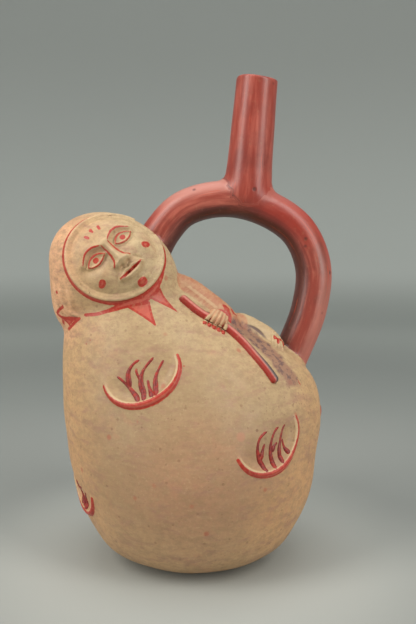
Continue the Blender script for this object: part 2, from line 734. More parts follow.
# The sprouting eyes. Seven hollows are scooped in the tuber's skin, each with a raised lip that
# hangs below it like half an oval, brushed red on its outer side.
EYES = (
    (-26, 113, 31, 41), (35.6, 79, 22, 41), (-65, 45, -4, 34), (98, 88, 14, 38),
    (150, 60, -12, 36), (-160, 104, 16, 40), (-108, 92, -18, 37),
)
LIP_RADIUS = 1.7
LIP_SUNK = 0.35
LIP_SAG = 0.82
LIP_TAPER = 0.45
LIP_SEAM = 0.9
LIP_STATIONS = 25
LIP_PAINT, LIP_PAINT_WIDTHS = 1.045, (0.9, 1.9)
LIP_PALE, LIP_PALE_WIDTH = 0.945, 0.55
PAINT_RISE = 0.7
SCOOP_DEPTH = 1.8
SCOOP_EDGE = (0.05, 0.32)
SCOOP_TOP = (-0.42, 0.3)
SCOOP_REACH = 20


def seat_of(azimuth, height, tilt):
    """A point on the skin, with axes along the eye's chord, up from it and out"""
    angle, lift = math.radians(azimuth), math.radians(tilt)
    outward = np.array((math.sin(angle), -math.cos(angle), 0.0))
    near_end, far_end = 0.0, 160.0
    for _ in range(32):
        middle = (near_end + far_end) / 2
        inside = tuber(np.array([[0, 0, height]]) + outward * middle)[0][0] < 0
        near_end, far_end = (middle, far_end) if inside else (near_end, middle)
    point = np.array((0, 0, height)) + outward * near_end
    side, up, out = axes_at(point, np.array((math.cos(angle), math.sin(angle), 0.0)))
    chord = side * math.cos(lift) + up * math.sin(lift)
    return point, chord, np.cross(out, chord), out


def eye(azimuth, height, tilt, width):
    """Scoop one eye, lay its lip and brush it, and give ways to find places in it"""
    point, chord, rise, out = seat_of(azimuth, height, tilt)
    half = width / 2
    turns = np.linspace(0, math.pi, LIP_STATIONS)
    oval = np.stack([-np.cos(turns), -LIP_SAG * np.sin(turns)], 1)

    def place(flat, height_on=0.0):
        flat = np.atleast_2d(flat) * half
        return pressed(point + flat[:, :1] * chord + flat[:, 1:] * rise, tuber, height_on)

    def on_eye(p):
        """How far up from the chord, out of the skin and across the oval, which ends at 1"""
        q = p - point
        along, up = q @ chord / half, q @ rise / half
        return up, q @ out, np.hypot(along, up / LIP_SAG)

    lip_line = place(oval, -LIP_SUNK)
    lip = strand(lip_line, LIP_RADIUS * (1 - LIP_TAPER + LIP_TAPER * np.sin(turns) ** 0.5))

    def form_of(form, p):
        up, off, across = on_eye(p)
        depth = SCOOP_DEPTH * smooth(*SCOOP_EDGE, 1 - across) * (1 - smooth(*SCOOP_TOP, up))
        return flow((form[0] + depth * (np.abs(off) < SCOOP_REACH), form[1]), lip(p), LIP_SEAM)

    relief.append((near(lip_line, 5.0 + SCOOP_DEPTH), form_of))
    paint_widths = np.interp(np.sin(turns) ** 1.5, (0, 1), LIP_PAINT_WIDTHS)
    paint.append(strand(place(oval * LIP_PAINT, PAINT_RISE), paint_widths))
    pale_paint.append(strand(place(oval * LIP_PALE, PAINT_RISE), LIP_PALE_WIDTH))
    return place, on_eye


eyes = [eye(*facts) for facts in EYES]


# The clay skin. All the forms above are one body of clay, so they get one skin: a net is drawn
# through the zero of the joined forms, pulled onto it, and made finer where there is small work.
NET = 2.4
ROOM = (np.array((-82.0, -74.0, -3.0)), np.array((82.0, 68.0, 273.0)))
SLICE = 120000
PASSES = 9
MOUTH_ROUNDING = 0.6

# The longest edge of a triangle, with two values where the eyes at the front get a finer net
PLAIN_EDGE, FACE_EDGE, RIM_EDGE = 9.0, 0.75, 1.2
LIP_EDGES, SCOOP_EDGES = (0.9, 1.2), (1.6, 2.4)
FRONT_EYES = 70
LIP_BAND, EYE_TOP, EYE_DEPTH = 0.12, 0.12, 12
RIM_FROM, RIM_REACH = 65, 16
INSIDE_TOP = 205


def clay(p):
    """The finished vessel: the body with its relief, less the hollow"""
    return carve(dressed(body(p), p), hollow(p), MOUTH_ROUNDING)


def in_slices(field, p):
    """What a form gives for many points, taken a slice at a time"""
    parts = [field(p[i : i + SLICE]) for i in range(0, len(p), SLICE)]
    return np.concatenate([a for a, _ in parts]), np.concatenate([b for _, b in parts])


def net(field, low, high, step):
    """A net of quads round the zero of a field, one knot in each cell that it crosses"""
    counts = np.ceil((high - low) / step).astype(int) + 1
    ticks = [low[i] + step * np.arange(counts[i]) for i in range(3)]
    grid = np.stack(np.meshgrid(*ticks, indexing="ij"), -1)
    values = in_slices(field, grid.reshape(-1, 3))[0].reshape(counts)
    cells = np.array([counts[1] * counts[2], counts[2], 1])
    ids, places, quads = [], [], []
    for i in range(3):
        j, k = (i + 1) % 3, (i + 2) % 3
        one, two = np.eye(3, dtype=int)[j], np.eye(3, dtype=int)[k]
        before, after = np.moveaxis(values, i, 0)[:-1], np.moveaxis(values, i, 0)[1:]
        at = np.argwhere((before < 0) != (after < 0))
        v0, v1 = before[tuple(at.T)], after[tuple(at.T)]
        at = np.insert(at[:, 1:], i, at[:, 0], axis=1)
        crossing = low + step * at
        crossing[:, i] += step * v0 / (v0 - v1)
        ring = np.stack([(at - shift) @ cells for shift in (0 * one, one, one + two, two)], 1)
        ids.append(ring.ravel())
        places.append(np.repeat(crossing, 4, axis=0))
        quads.append(np.where((v0 < 0)[:, None], ring, ring[:, ::-1]))
    ids, places, quads = np.concatenate(ids), np.concatenate(places), np.concatenate(quads)
    used, index = np.unique(ids, return_inverse=True)
    share = np.bincount(index)
    points = np.stack([np.bincount(index, places[:, i]) / share for i in range(3)], 1)
    return points, np.searchsorted(used, quads)


def split_quads(points, quads):
    """Each quad as two triangles, cut along its shorter diagonal"""
    a, b, c, d = quads.T
    short = size_of(points[a] - points[c]) < size_of(points[b] - points[d])
    first = np.where(short[:, None], np.stack([a, b, c], 1), np.stack([a, b, d], 1))
    rest = np.where(short[:, None], np.stack([a, c, d], 1), np.stack([b, c, d], 1))
    return np.vstack([first, rest])


def halved(points, faces, wanted):
    """Triangles with an edge longer than wanted are cut in half there, and their neighbours too"""
    count = len(points)
    edge = np.stack([faces, np.roll(faces, -1, axis=1)], 2)
    key = edge.min(2).astype(np.int64) * count + edge.max(2)
    names, index = np.unique(key, return_inverse=True)
    index = index.reshape(-1, 3)
    ends = np.stack([names // count, names % count], 1)
    length = size_of(points[ends[:, 0]] - points[ends[:, 1]])
    longest = length[index].argmax(1)
    row = np.arange(len(faces))
    top = index[row, longest]
    marked = np.zeros(len(names), bool)
    marked[top[length[top] > wanted[faces].min(1)]] = True
    for _ in range(6):
        marked[top[marked[index].any(1)]] = True
    middle = np.full(len(names), -1)
    middle[marked] = count + np.arange(marked.sum())
    points = np.vstack([points, points[ends[marked]].mean(1)])
    turn = (longest[:, None] + np.arange(3)) % 3
    a, b, c = np.take_along_axis(faces, turn, 1).T
    m, mb, mc = middle[np.take_along_axis(index, turn, 1)].T
    cut = m >= 0
    parts = (
        (~cut, (a, b, c)),
        (cut & (mc < 0), (a, m, c)), (cut & (mc >= 0), (a, m, mc)), (cut & (mc >= 0), (m, c, mc)),
        (cut & (mb < 0), (m, b, c)), (cut & (mb >= 0), (m, b, mb)), (cut & (mb >= 0), (m, mb, c)),
    )
    return points, np.vstack([np.stack(corners, 1)[chosen] for chosen, corners in parts])


# Places of small work, each with the longest edge there
fine_places = [
    (strand(rod_line, 4.2), 0.75),
    (strand(np.vstack([cuff_line, dark_cut_line]), 2.0), 0.8),
    (egg(pressed((12.2, -27, 133.5), tuber)[0], (9.0, 9.0, 9.0)), 0.65),
    (egg(pressed(FAR_HAND["palm"], tuber)[0], (8.0, 8.0, 8.0)), 0.8),
    (strand(hem_line, 2.6), 1.0),
]
fine_places += [(strand(line, 2.5), 0.8) for line in fold_lines]
fine_places += [(lambda p, stroke=stroke: shrunk(stroke(p), -1.0), 1.1) for stroke in collar_paint]


def wanted_at(p):
    """How long an edge may be"""
    wanted = np.full(len(p), PLAIN_EDGE)
    wanted[in_face(p)[1] > FACE_BORDER] = FACE_EDGE
    for place, length in fine_places:
        here = place(p)[0] < 0
        wanted[here] = np.minimum(wanted[here], length)
    for (_, on_eye), (azimuth, *_) in zip(eyes, EYES):
        up, off, across = on_eye(p)
        close = (up < EYE_TOP) & (np.abs(off) < EYE_DEPTH)
        behind = abs(azimuth) >= FRONT_EYES
        wanted[close & (np.abs(across - 1) < LIP_BAND)] = LIP_EDGES[behind]
        wanted[close & (across <= 1 - LIP_BAND)] = SCOOP_EDGES[behind]
    up, reach, _ = along_spout(p)
    wanted[(up > RIM_FROM) & (reach < RIM_REACH)] = RIM_EDGE
    wanted[(hollow(p)[0] < INSIDE_SKIN) & (p[:, 2] < INSIDE_TOP)] = PLAIN_EDGE
    return wanted


def settled(p):
    """Knots of the net pulled onto the finished clay"""
    return np.vstack([pressed(p[i : i + SLICE], clay) for i in range(0, len(p), SLICE)])


points, quads = net(lambda p: carve(body(p), hollow(p), MOUTH_ROUNDING), *ROOM, NET)
points = settled(points)
faces = split_quads(points, quads)
for _ in range(PASSES):
    before = len(points)
    points, faces = halved(points, faces, wanted_at(points))
    if len(points) == before:
        break
    points[before:] = settled(points[before:])


def made(name, points, faces):
    """A mesh in metres, with its place in its vertices"""
    mesh = bpy.data.meshes.new(name)
    mesh.vertices.add(len(points))
    mesh.vertices.foreach_set("co", (points / 1000).astype(np.float32).ravel())
    mesh.loops.add(faces.size)
    mesh.loops.foreach_set("vertex_index", faces.ravel().astype(np.int32))
    mesh.polygons.add(len(faces))
    mesh.polygons.foreach_set("loop_start", np.arange(0, faces.size, 3, dtype=np.int32))
    mesh.update(calc_edges=True)
    mesh.validate()
    mesh.shade_smooth()
    return shown(name, mesh)


vessel = made("clay_vessel", points, faces)


def mark(piece, name, values):
    """A number, or three, that the finish reads at each point of the skin"""
    values = np.asarray(values, np.float32)
    kind = "FLOAT" if values.ndim == 1 else "FLOAT_VECTOR"
    layer = piece.data.attributes.new(name, kind, "POINT")
    layer.data.foreach_set("value" if values.ndim == 1 else "vector", values.ravel())


def nearest(fields, p):
    """How far points are from the nearest of some forms or strokes"""
    return np.min([field(p)[0] for field in fields], axis=0)


# What the finish reads at each point of the skin: how far it lies from each kind of paint and piece
SLEEVE_WIDTH = 8.8
HAND_REACH = 1.2
DARK_CUT_WIDTH = 1.15
STAIN = (
    (25.4, -18.6, 129.0), (31.5, -18.7, 125.0), (36.9, -21.7, 120.8), (41.9, -25.6, 116.3),
    (46.4, -29.8, 110.9), (51.0, -31.5, 104.2),
)
STAIN_WIDTHS = (6.8, 4.6)
SPOUT_RUN = 300

plain = in_slices(plain_body, points)[0]
tube_gap = in_slices(lambda p: flow(stirrup(p), spout(p), SPOUT_SEAM), points)[0]
cut_widths = DARK_CUT_WIDTH * np.sin(np.linspace(0.3, 2.8, SMALL_STATIONS))
mark(vessel, "red_paint", nearest(paint, points))
mark(vessel, "pale_paint", nearest(pale_paint, points))
mark(vessel, "on_tube", plain - tube_gap)
mark(vessel, "lifted", np.where(tube_gap < plain, 0, np.clip(plain, -4, 6)))
mark(vessel, "bare_inside", (in_slices(hollow, points)[0] < INSIDE_SKIN).astype(float))
rod_gap = rod(points)[0]
mark(vessel, "rod", rod_gap)
mark(vessel, "dark_cut", strand(dark_cut_line, cut_widths)(points)[0])
sleeved = np.minimum(strand(near_arm_line, SLEEVE_WIDTH)(points)[0], palms[0][2](points)[0] - HAND_REACH)
mark(vessel, "sleeve", sleeved)
mark(vessel, "stain", brushed(curve(STAIN, 12), STAIN_WIDTHS, body)(points)[0])


def nearest_stations(line, chosen):
    """For each chosen point of the skin, the closest place on a line"""
    station = np.zeros(len(points), int)
    chosen = np.nonzero(chosen)[0]
    for first in range(0, len(chosen), HANDFUL):
        these = chosen[first : first + HANDFUL]
        station[these] = size_of(points[these][:, None] - line).argmin(1)
    return station


# How far across the rod, and on the tube how far along it, outward of its arch and deep
by_rod = rod_gap < 2
rod_side = unit(np.cross(np.gradient(rod_line, axis=0), tuber(rod_line)[1]))
station = nearest_stations(rod_line, by_rod)
across_rod = np.einsum("ij,ij->i", points - rod_line[station], rod_side[station])
mark(vessel, "across_rod", np.where(by_rod, across_rod, 0.0))
station = nearest_stations(tube_line, tube_gap < 3)
tangent = unit(np.gradient(tube_line, axis=0))[station]
offset = points - tube_line[station]
outward = np.stack([-tangent[:, 2], 0 * tangent[:, 0], tangent[:, 0]], 1)
run = station * size_of(np.diff(tube_line, axis=0)).mean() + np.einsum("ij,ij->i", offset, tangent)
rolled = np.stack([run, np.einsum("ij,ij->i", offset, outward), offset[:, 1]], 1)
up, reach, way = along_spout(points)
on_spout = spout(points)[0] < stirrup(points)[0] - 0.5
straight_up = np.stack([up + SPOUT_RUN, way[:, 0] * reach, way[:, 1] * reach], 1)
mark(vessel, "rolled", np.where(on_spout[:, None], straight_up, rolled))


# The slips. The vessel is dipped in a cream slip that fires pale above and browner below, mottled
# pink and brown, with fine smoothing marks, flecks and pits. The stirrup, the spout and the strokes
# are brushed with a red iron slip, and the stirrup is rubbed to a shine.
class Bench:
    """A short way to write a finish, or a shape, as nodes"""

    def __init__(self, tree):
        self.tree = tree

    def feed(self, socket, value):
        """Link a node's output to a socket, or set the socket to a plain value"""
        if isinstance(value, bpy.types.NodeSocket):
            self.tree.links.new(value, socket)
        else:
            socket.default_value = value

    def node(self, kind, settings=None, **inputs):
        """A node with its settings, and its inputs by name, or by number as i0 and i1"""
        node = self.tree.nodes.new(kind if kind.startswith("Geometry") else "ShaderNode" + kind)
        for name, value in (settings or {}).items():
            setattr(node, name, value)
        for name, value in inputs.items():
            key = int(name[1:]) if name[0] == "i" and name[1:].isdigit() else name.replace("_", " ")
            self.feed(node.inputs[key], value)
        return node

    def maths(self, operation, a, b=0.0, clamp=False):
        return self.node("Math", {"operation": operation, "use_clamp": clamp}, i0=a, i1=b).outputs[0]

    def plus(self, a, b):
        return self.maths("ADD", a, b)

    def times(self, a, b):
        return self.maths("MULTIPLY", a, b)

    def swing(self, pattern, reach):
        """A pattern from 0 to 1 as a push either way"""
        return self.times(self.maths("SUBTRACT", pattern, 0.5), reach)

    def range(self, value, low, high, to_low=0.0, to_high=1.0):
        ends = {"From_Min": low, "From_Max": high, "To_Min": to_low, "To_Max": to_high}
        node = self.node("MapRange", {"interpolation_type": "SMOOTHSTEP"}, Value=value, **ends)
        return node.outputs["Result"]

    def noise(self, place, scale, detail=3.0, roughness=0.5, stretch=None, warp=0.0):
        if stretch is not None:
            place = self.node("Mapping", Vector=place, Scale=stretch).outputs[0]
        grain = {"Scale": scale, "Detail": detail, "Roughness": roughness, "Distortion": warp}
        return self.node("TexNoise", Vector=place, **grain).outputs["Fac"]

    def mix(self, share, a, b):
        return self.node("Mix", {"data_type": "RGBA"}, i0=share, i6=a, i7=b).outputs[2]

    def blend(self, share, a, b):
        return self.node("Mix", {"data_type": "FLOAT"}, i0=share, i2=a, i3=b).outputs[0]

    def layered(self, colour, *coats):
        """Slips laid one over another: for each, how much of it covers, and its colour"""
        for cover, slip in coats:
            colour = self.mix(cover, colour, slip)
        return colour

    def number(self, name):
        return self.node("Attribute", {"attribute_name": name}).outputs["Fac"]

    def effect(self, tree, **inputs):
        return self.node("Group", {"node_tree": tree}, **inputs).outputs


def srgb(red, green, blue):
    """A paint seen by eye, as the light that it sends back"""
    return (*[((c / 255 + 0.055) / 1.055) ** 2.4 for c in (red, green, blue)], 1.0)


def new_finish(name):
    """A finish, its bench, the shader's inputs and the place on the piece"""
    material = bpy.data.materials.new(name)
    material.use_nodes = True
    b = Bench(material.node_tree)
    place = b.node("TexCoord").outputs["Object"]
    return material, b, material.node_tree.nodes["Principled BSDF"].inputs, place


def new_group(name, inputs, outputs, kind="Shader"):
    """An empty node group with its named inputs, their kinds and values, and its outputs"""
    tree = bpy.data.node_groups.new(name, kind + "NodeTree")
    for socket, sort, value in inputs:
        made_socket = tree.interface.new_socket(socket, in_out="INPUT", socket_type="NodeSocket" + sort)
        if value is not None:
            made_socket.default_value = value
    for socket, sort in outputs:
        tree.interface.new_socket(socket, in_out="OUTPUT", socket_type="NodeSocket" + sort)
    ends = tree.nodes.new("NodeGroupInput").outputs, tree.nodes.new("NodeGroupOutput").inputs
    return Bench(tree), *ends


def speckle_effect():
    """Specks and pits: where they are, and how deep"""
    b, given, result = new_group(
        "specks_and_pits",
        [("Place", "Vector", None), ("Scale", "Float", 400.0), ("Share", "Float", 0.2)],
        [("Specks", "Float"), ("Height", "Float")],
    )
    cells = b.node("TexVoronoi", {"feature": "F1"}, Vector=given["Place"], Scale=given["Scale"])
    drawn_lot = b.node("SeparateColor", Color=cells.outputs["Color"]).outputs[0]
    chosen = b.maths("LESS_THAN", drawn_lot, given["Share"])
    specks = b.times(chosen, b.range(cells.outputs["Distance"], 0.12, 0.34, 1.0, 0.0))
    b.feed(result["Specks"], specks)
    b.feed(result["Height"], b.times(specks, -1.0))
    return b.tree


def ragged_effect():
    """The edge of a brushed slip: full inside, worn and ragged towards its edge"""
    b, given, result = new_group(
        "brushed_edge",
        [("Place", "Vector", None), ("Distance", "Float", 0.0), ("Raggedness", "Float", 0.5),
         ("Wear", "Float", 0.3)],
        [("Cover", "Float"), ("Streaks", "Float")],
    )
    place = given["Place"]
    edge = b.plus(given["Distance"], b.swing(b.noise(place, 900.0), given["Raggedness"]))
    worn = b.times(b.range(b.noise(place, 420.0, 4.0, 0.6), 0.56, 0.72), given["Wear"])
    b.feed(result["Cover"], b.maths("SUBTRACT", b.range(edge, -0.12, 0.14, 1.0, 0.0), worn, clamp=True))
    b.feed(result["Streaks"], b.noise(place, 650.0, 2.0, 0.5))
    return b.tree


specks_and_pits, brushed_edge = speckle_effect(), ragged_effect()

CREAM_PALE, CREAM, CREAM_BROWN = srgb(194, 171, 131), srgb(184, 157, 116), srgb(184, 149, 110)
PINK_BLUSH, DARK_FLECK, RED_FLECK = srgb(178, 126, 98), srgb(124, 92, 66), srgb(168, 84, 62)
PINK_SMUDGE, ORANGE_FLANK, WORN_EDGE = srgb(158, 116, 98), srgb(214, 160, 108), srgb(224, 200, 158)
FRONT_BROWN, HOOD_EDGE = srgb(146, 120, 88), srgb(226, 172, 132)
SLEEVE_BROWN, SLEEVE_RED = srgb(188, 126, 92), srgb(170, 96, 72)
BRICK, BRICK_LIGHT, BRICK_DARK = srgb(146, 66, 54), srgb(184, 100, 84), srgb(84, 46, 42)
BRICK_OUTER, BRICK_INNER, BRICK_PIT = srgb(160, 48, 36), srgb(70, 40, 37), srgb(78, 40, 36)
BRICK_ORANGE, BRICK_WORN = srgb(194, 70, 38), srgb(196, 132, 118)
ROD_EDGE, ROD_SHINE = srgb(160, 44, 36), srgb(196, 118, 104)
ROD_DARK, ROD_END = srgb(84, 48, 46), srgb(84, 74, 72)
STROKE_RED, STROKE_LIGHT, STROKE_SHINE = srgb(170, 46, 32), srgb(194, 84, 60), srgb(222, 138, 116)
STAIN_BROWN, STAIN_DARK, INSIDE_CLAY = srgb(142, 100, 84), srgb(92, 70, 72), srgb(150, 84, 62)

# Places on the vessel, in metres, where one colour is stronger
SHOULDER_SPECKS = (0.047, -0.036, 0.092)
WORN_LEG, ARCH_SHOULDER = (0.070, 0.0, 0.130), (0.050, -0.002, 0.192)
WARM_LOWER_FRONT, WARM_LOWER_RIGHT = (0.004, -0.066, 0.058), (0.050, -0.045, 0.040)
HOOD_SIDE = (-0.072, -0.024, 0.138)

# Single spots: the place and the radius in millimetres, and the colour
SPOTS = (
    ((32.1, -56.3, 83.4), 1.0, DARK_FLECK), ((24.0, -60.6, 81.3), 3.0, PINK_BLUSH),
    ((-3.8, -52.5, 114.6), 0.7, RED_FLECK), ((-54.1, -39.5, 123.8), 0.6, RED_FLECK),
    ((-51.9, -40.5, 125.9), 0.6, RED_FLECK), ((-25.4, -52.4, 116.1), 0.8, RED_FLECK),
)

# Clouds in the slip: scale, detail, roughness, stretch and warp of the pattern, the two values
# between which it sets in, how strong it gets, and the colour
CLOUDS = (
    (60.0, 4.0, 0.6, None, 0.6, 0.54, 0.72, 0.4, PINK_BLUSH),
    (130.0, 5.0, 0.68, (0.55, 0.55, 1.5), 0.4, 0.5, 0.68, 0.6, PINK_SMUDGE),
    (230.0, 6.0, 0.72, (1, 1, 1.4), 0.0, 0.4, 0.66, 0.5, FRONT_BROWN),
    (700.0, 4.0, 0.7, None, 0.0, 0.5, 0.66, 0.32, PINK_SMUDGE),
    (700.0, 4.0, 0.7, None, 0.0, 0.46, 0.3, 0.14, WORN_EDGE),
)
PAINT_ROUGHNESS = 0.42


def slipped_clay():
    material, b, shader, place = new_finish("slipped_clay")
    wide, deep, high = b.node("SeparateXYZ", Vector=place).outputs

    def closeness(point, full, none):
        """1 near a point and 0 away from it"""
        gap = b.node("VectorMath", {"operation": "DISTANCE"}, i0=place, i1=point).outputs["Value"]
        return b.range(gap, full, none, 1.0, 0.0)

    # The cream slip is browner low down, and warmer on the flanks, the front and the hood's edge
    level = b.plus(b.range(high, 0.015, 0.165), b.swing(b.noise(place, 22.0, 3.0, 0.55), 0.9))
    flank = b.maths("ADD", b.range(wide, -0.028, -0.066), b.range(wide, 0.046, 0.072), clamp=True)
    front = b.times(b.range(deep, -0.03, -0.062), b.range(high, 0.018, 0.05))
    hood_edge = b.times(b.range(wide, -0.055, -0.07), b.range(high, 0.135, 0.15))
    hood_edge = b.maths("MAXIMUM", hood_edge, closeness(HOOD_SIDE, 0.01, 0.022))
    colour = b.layered(
        CREAM_BROWN,
        (b.range(level, 0.15, 0.6), CREAM),
        (b.range(level, 0.6, 1.15), CREAM_PALE),
        (b.times(flank, 0.45), ORANGE_FLANK),
        (b.times(front, 0.55), FRONT_BROWN),
        (b.times(hood_edge, 0.8), HOOD_EDGE),
        (b.times(closeness(WARM_LOWER_RIGHT, 0.012, 0.04), 0.4), ORANGE_FLANK),
        (b.times(closeness(WARM_LOWER_FRONT, 0.012, 0.05), 0.4), PINK_BLUSH),
    )
    for *pattern, start, full, strength, slip in CLOUDS:
        colour = b.mix(b.range(b.noise(place, *pattern), start, full, 0.0, strength), colour, slip)

    # Marks of smoothing, flecks, specks that gather in places, and the spots
    strokes = b.noise(place, 240.0, 3.0, 0.6, stretch=(0.4, 0.4, 2.0))
    flecks = b.effect(specks_and_pits, Place=place, Scale=330.0, Share=0.10)
    fine_specks = b.effect(specks_and_pits, Place=place, Scale=620.0, Share=0.35)
    gathered = b.range(b.noise(place, 45.0, 3.0, 0.6), 0.46, 0.66, 0.0, 0.7)
    gathered = b.maths("MAXIMUM", gathered, closeness(SHOULDER_SPECKS, 0.012, 0.034))
    tipped = b.node("Mapping", Vector=place, Rotation=(0.6, 0.4, 0.2)).outputs[0]
    red_flecks = b.effect(specks_and_pits, Place=tipped, Scale=170.0, Share=0.04)
    colour = b.layered(
        colour,
        (b.range(strokes, 0.5, 0.75, 0.0, 0.12), CREAM_PALE),
        (b.times(flecks["Specks"], 0.4), DARK_FLECK),
        (b.times(b.times(gathered, fine_specks["Specks"]), 0.6), DARK_FLECK),
        (b.times(red_flecks["Specks"], 0.55), RED_FLECK),
    )
    for point, radius, spot_colour in SPOTS:
        spot = closeness([c / 1000 for c in point], radius * 0.0005, radius * 0.001)
        colour = b.mix(b.times(spot, 0.75), colour, spot_colour)

    # Relief is rubbed pale, the sleeves are brushed brown and red, and a dark stain lies between them
    sleeve = b.range(b.number("sleeve"), -1.0, 0.4, 1.0, 0.0)
    along_arm = b.node("Mapping", Vector=place, Rotation=(0, 0.66, 0)).outputs[0]
    folds_seen = b.range(b.noise(along_arm, 300.0, 3.0, 0.6, stretch=(0.22, 1.0, 1.6)), 0.4, 0.62)
    stain_edge = b.plus(b.number("stain"), b.swing(b.noise(place, 210.0, 4.0), 6.0))
    stain = b.range(stain_edge, -1.5, 1.5, 1.0, 0.0)
    blots = b.range(b.noise(place, 300.0, 5.0, 0.65), 0.47, 0.62)
    colour = b.layered(
        colour,
        (b.range(b.number("lifted"), 0.5, 1.6, 0.0, 0.22), WORN_EDGE),
        (b.times(sleeve, 0.6), SLEEVE_BROWN),
        (b.times(sleeve, b.times(folds_seen, 0.55)), SLEEVE_RED),
        (b.times(stain, 0.75), STAIN_BROWN),
        (b.times(stain, b.times(blots, 0.8)), STAIN_DARK),
        (b.range(b.number("pale_paint"), -0.3, 0.35, 0.42, 0.0), WORN_EDGE),
    )

    # The rod is red above with a rubbed top, dark below and bare at its end
    rod_edge = b.maths("SUBTRACT", b.number("rod"), 0.3)
    rod_cover = b.effect(brushed_edge, Place=place, Distance=rod_edge, Raggedness=0.5, Wear=0.15)
    across_rod = b.number("across_rod")
    rod_colour = b.layered(
        ROD_DARK,
        (b.range(across_rod, -0.9, -0.1), ROD_SHINE),
        (b.range(across_rod, 0.7, 1.6), ROD_EDGE),
        (b.range(rod_cover["Streaks"], 0.42, 0.7, 0.0, 0.4), BRICK),
        (b.times(b.range(wide, 0.024, 0.040), b.range(across_rod, 1.3, 0.1)), ROD_END),
    )

    # The brush strokes
    on_brush = b.number("red_paint")
    paint_cover = b.effect(brushed_edge, Place=place, Distance=on_brush, Raggedness=0.55, Wear=0.3)
    paint_colour = b.layered(
        STROKE_RED,
        (b.range(paint_cover["Streaks"], 0.45, 0.72, 0.0, 0.6), STROKE_LIGHT),
        (b.range(on_brush, -0.9, -1.5, 0.0, 0.3), STROKE_SHINE),
    )
    colour = b.layered(
        colour,
        (rod_cover["Cover"], rod_colour),
        (paint_cover["Cover"], paint_colour),
        (b.range(b.number("dark_cut"), -0.3, 0.25, 0.85, 0.0), STAIN_DARK),
    )

    # The stirrup and the spout: how far along the tube a point is, and how far outward of its arch
    rolled = b.node("Attribute", {"attribute_name": "rolled"}).outputs["Vector"]
    run, outward, _ = b.node("SeparateXYZ", Vector=rolled).outputs
    not_spout = b.range(run, 240.0, 285.0, 1.0, 0.0)
    rub = b.noise(rolled, 0.22, 4.0, 0.6, stretch=(0.16, 1.6, 1.6), warp=0.3)
    wavy_side = b.plus(outward, b.swing(rub, 5.0))
    on_top = b.times(b.range(high, 0.188, 0.204), not_spout)
    outer = b.times(b.range(wavy_side, 6.0, 10.0, 0.0, 0.7), not_spout)
    inner = b.times(b.range(wavy_side, -2.0, -7.5, 0.0, 0.85), not_spout)
    worn_leg = b.times(closeness(WORN_LEG, 0.012, 0.05), b.range(wavy_side, 0.5, 4.0))
    orange = b.noise(rolled, 0.3, 3.0, 0.6, stretch=(0.12, 2.2, 2.2))
    pits = b.effect(specks_and_pits, Place=place, Scale=210.0, Share=0.07)
    red = b.layered(
        BRICK,
        (b.range(rub, 0.4, 0.72), BRICK_LIGHT),
        (b.range(b.noise(rolled, 0.05, 4.0, 0.6), 0.45, 0.75, 0.0, 0.6), BRICK_DARK),
        (b.times(outer, b.maths("SUBTRACT", 1.0, on_top)), BRICK_OUTER),
        (b.times(on_top, b.range(wavy_side, 1.0, 6.0, 0.0, 0.75)), BRICK_WORN),
        (b.times(worn_leg, 0.5), BRICK_WORN),
        (b.times(closeness(ARCH_SHOULDER, 0.008, 0.03), 0.6), BRICK_OUTER),
        (b.range(run, 285.0, 320.0, 0.0, 0.25), BRICK_OUTER),
        (inner, BRICK_INNER),
        (b.range(orange, 0.62, 0.72, 0.0, 0.6), BRICK_ORANGE),
        (b.times(pits["Specks"], 0.75), BRICK_PIT),
    )
    tube_edge = b.maths("SUBTRACT", 1.2, b.number("on_tube"))
    on_tube = b.effect(brushed_edge, Place=place, Distance=tube_edge, Raggedness=1.6, Wear=0.08)["Cover"]
    colour = b.layered(colour, (on_tube, red), (b.number("bare_inside"), INSIDE_CLAY))
    b.feed(shader["Base Color"], colour)

    matt = b.range(b.noise(place, 150.0, 4.0, 0.6), 0.3, 0.7, 0.5, 0.66)
    shiny = b.range(rub, 0.35, 0.75, 0.3, 0.44)
    painted = b.maths("MAXIMUM", paint_cover["Cover"], rod_cover["Cover"])
    b.feed(shader["Roughness"], b.blend(on_tube, b.blend(painted, matt, PAINT_ROUGHNESS), shiny))

    height = b.plus(b.times(b.noise(place, 1500.0, 3.0, 0.6), 0.25), b.times(strokes, 0.5))
    height = b.plus(height, b.times(flecks["Height"], 0.6))
    tube_height = b.plus(b.times(rub, 0.4), b.times(pits["Height"], 0.9))
    height = b.plus(b.blend(on_tube, height, tube_height), b.times(painted, 0.25))
    b.feed(shader["Normal"], b.node("Bump", Height=height, Strength=0.5, Distance=0.0003).outputs["Normal"])
    return material


vessel.data.materials.append(slipped_clay())
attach(vessel, "root")
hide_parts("vessel")


